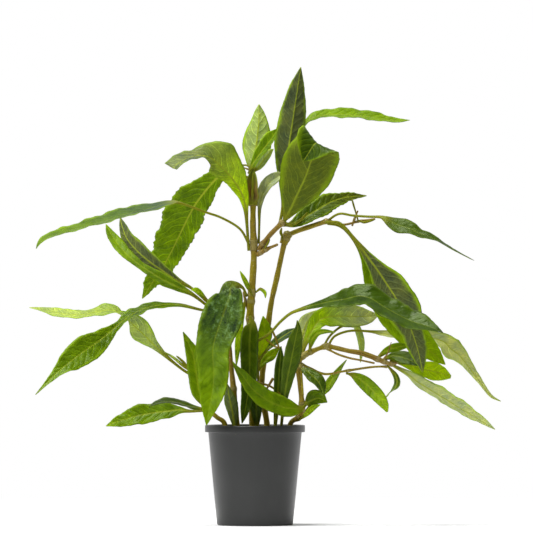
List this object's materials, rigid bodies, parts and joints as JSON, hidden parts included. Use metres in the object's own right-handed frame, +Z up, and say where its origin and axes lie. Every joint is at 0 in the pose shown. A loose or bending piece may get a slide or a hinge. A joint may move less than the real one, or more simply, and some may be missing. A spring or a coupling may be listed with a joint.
{
  "type": "potted narrow-leaf temple plant",
  "caption": "Aquarium stem plant with long pointed green leaves on upright branching stems, rooted in a rock wool plug in a small round plain pot.",
  "frame": {"origin": "middle of the pot's foot, on the surface it stands on", "axes": "+Z up along the pot's axis, -Y towards the plant's front as pictured, +X to its right"},
  "size_m": [0.2382, 0.0906, 0.2296],
  "materials": {
    "pot": "satin black moulded plastic",
    "rock_wool": "matte matted mineral fibres",
    "stem": "smooth olive to brown stem skin",
    "leaf_mid": "glossy veined leaf, backlit",
    "leaf_dark": "glossy dark veined leaf",
    "leaf_lime": "young lime leaf, backlit",
    "leaf_pale": "pale matte leaf underside",
    "leaf_olive": "matte olive leaf underside"
  },
  "bodies": {
    "root": {"pot": "pot", "rock_wool_plug": "rock_wool", "main_stem": "stem", "upper_right_branch": "stem", "second_stem": "stem", "second_stem_branch": "stem", "side_twig": "stem", "third_stem": "stem", "low_right_branch": "stem", "thin_twig": "stem", "fourth_stem": "stem", "low_left_stem": "stem", "spoon_shaped_top_leaf": "leaf_olive", "toothed_right_leaf": "leaf_mid", "tall_top_leaf": "leaf_olive", "arching_top_leaf": "leaf_mid", "pale_apex_leaf": "leaf_pale", "folded_apex_leaf": "leaf_mid", "small_apex_leaf": "leaf_pale", "stem_side_leaf": "leaf_dark", "long_left_leaf": "leaf_mid", "curled_upper_left_leaf": "leaf_mid", "hanging_back_left_leaf": "leaf_mid", "grey_backed_left_leaf": "leaf_olive", "bright_left_leaf": "leaf_lime", "large_front_leaf": "leaf_mid", "twisted_pale_left_leaf": "leaf_lime", "drooping_left_leaf": "leaf_mid", "small_left_upright_leaf": "leaf_lime", "low_left_dark_leaf": "leaf_dark", "low_left_broad_leaf": "leaf_mid", "dark_centre_leaf": "leaf_dark", "low_front_leaf": "leaf_mid", "bright_centre_leaf": "leaf_lime", "small_centre_leaf": "leaf_lime", "lime_centre_leaf": "leaf_lime", "dark_upright_leaf": "leaf_dark", "short_dark_upright_leaf": "leaf_dark", "low_centre_leaf": "leaf_dark", "low_olive_leaf": "leaf_olive", "grey_small_leaf": "leaf_olive", "long_tipped_right_leaf": "leaf_mid", "drooping_right_leaf": "leaf_olive", "bright_drooping_leaf": "leaf_lime", "large_right_arching_leaf": "leaf_dark", "far_right_leaf": "leaf_pale", "low_right_leaf": "leaf_pale", "rounded_right_leaf": "leaf_lime", "short_hanging_leaf": "leaf_lime", "small_twisted_leaf": "leaf_mid", "broad_right_leaf": "leaf_mid", "narrow_right_leaf": "leaf_mid", "pale_right_leaf": "leaf_pale", "pale_hanging_leaf": "leaf_pale", "lime_right_leaf": "leaf_lime", "dark_right_leaf": "leaf_dark", "small_dark_leaf": "leaf_dark", "small_pointed_leaf": "leaf_lime", "low_right_dark_leaf": "leaf_dark", "low_lime_leaf": "leaf_lime"}
  },
  "joints": []
}
